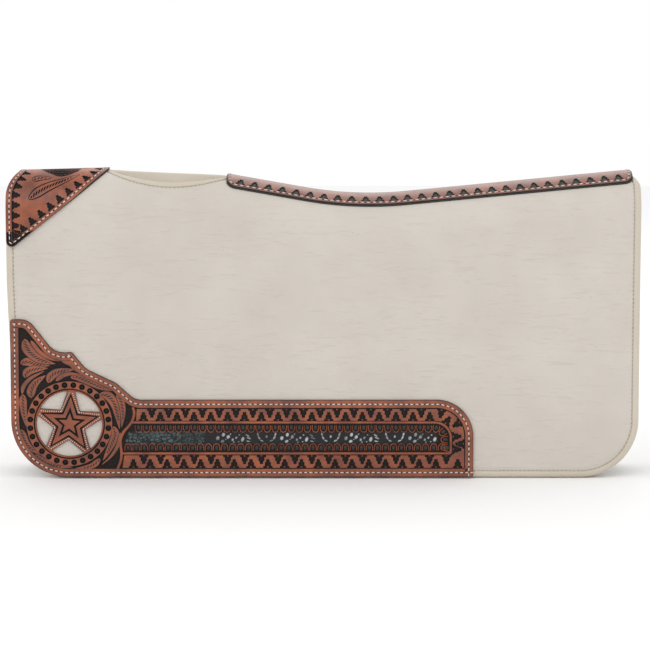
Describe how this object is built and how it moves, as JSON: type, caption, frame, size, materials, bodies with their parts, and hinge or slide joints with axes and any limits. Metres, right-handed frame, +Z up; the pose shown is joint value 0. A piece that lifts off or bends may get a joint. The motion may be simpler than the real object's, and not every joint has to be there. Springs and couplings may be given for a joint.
{
  "type": "saddle pad",
  "caption": "Contoured Western felt saddle pad with a wither vent, edge binding, a leather spine strip and tooled wear leathers, folded over its spine.",
  "frame": {"origin": "on the surface the folded pad stands on, under the middle of its box", "axes": "+X to the rear of the horse, -Y to the near side, +Z up"},
  "size_m": [0.788, 0.1036, 0.3854],
  "materials": {
    "wool_felt": "dense off-white wool felt",
    "binding": "rolled felt binding, a little yellower",
    "shock_core": "closed-cell foam",
    "tape": "woven seam tape",
    "thread": "waxed white thread",
    "binding_thread": "waxed tan thread",
    "tooled_leather": "tooled tan leather with dark antique in the cuts",
    "strip_leather": "stamped pale tan leather, satin",
    "inlay_leather": "black embossed leather"
  },
  "bodies": {
    "spine": {"wither_leather": "tooled_leather", "wither_leather_stitching": "thread", "spine_strip_leather": "strip_leather", "spine_strip_stitching": "thread", "spine_seam_tape": "tape"},
    "near_side": {"near_top_felt": "wool_felt", "near_shock_core": "shock_core", "near_under_felt": "wool_felt", "near_edge_binding": "binding", "near_edge_stitching": "binding_thread", "near_vent_binding": "binding", "near_vent_stitching": "binding_thread", "near_wear_leather": "tooled_leather", "near_wear_leather_stitching": "thread", "near_inlay_strip": "inlay_leather"},
    "far_side": {"far_top_felt": "wool_felt", "far_shock_core": "shock_core", "far_under_felt": "wool_felt", "far_edge_binding": "binding", "far_edge_stitching": "binding_thread", "far_vent_binding": "binding", "far_vent_stitching": "binding_thread", "far_wear_leather": "tooled_leather", "far_wear_leather_stitching": "thread", "far_inlay_strip": "inlay_leather"}
  },
  "joints": [
    {"name": "near_side_lift", "type": "hinge", "parent": "spine", "child": "near_side", "pos_m": [0, 0, 0.3855], "axis": [-1, 0, 0], "range_deg": [0, 60], "deforming": ["wither_leather", "wither_leather_stitching", "spine_strip_leather", "spine_strip_stitching", "spine_seam_tape"]},
    {"name": "far_side_lift", "type": "hinge", "parent": "spine", "child": "far_side", "pos_m": [0, 0, 0.3855], "axis": [1, 0, 0], "range_deg": [0, 60], "deforming": ["wither_leather", "wither_leather_stitching", "spine_strip_leather", "spine_strip_stitching", "spine_seam_tape"]}
  ]
}
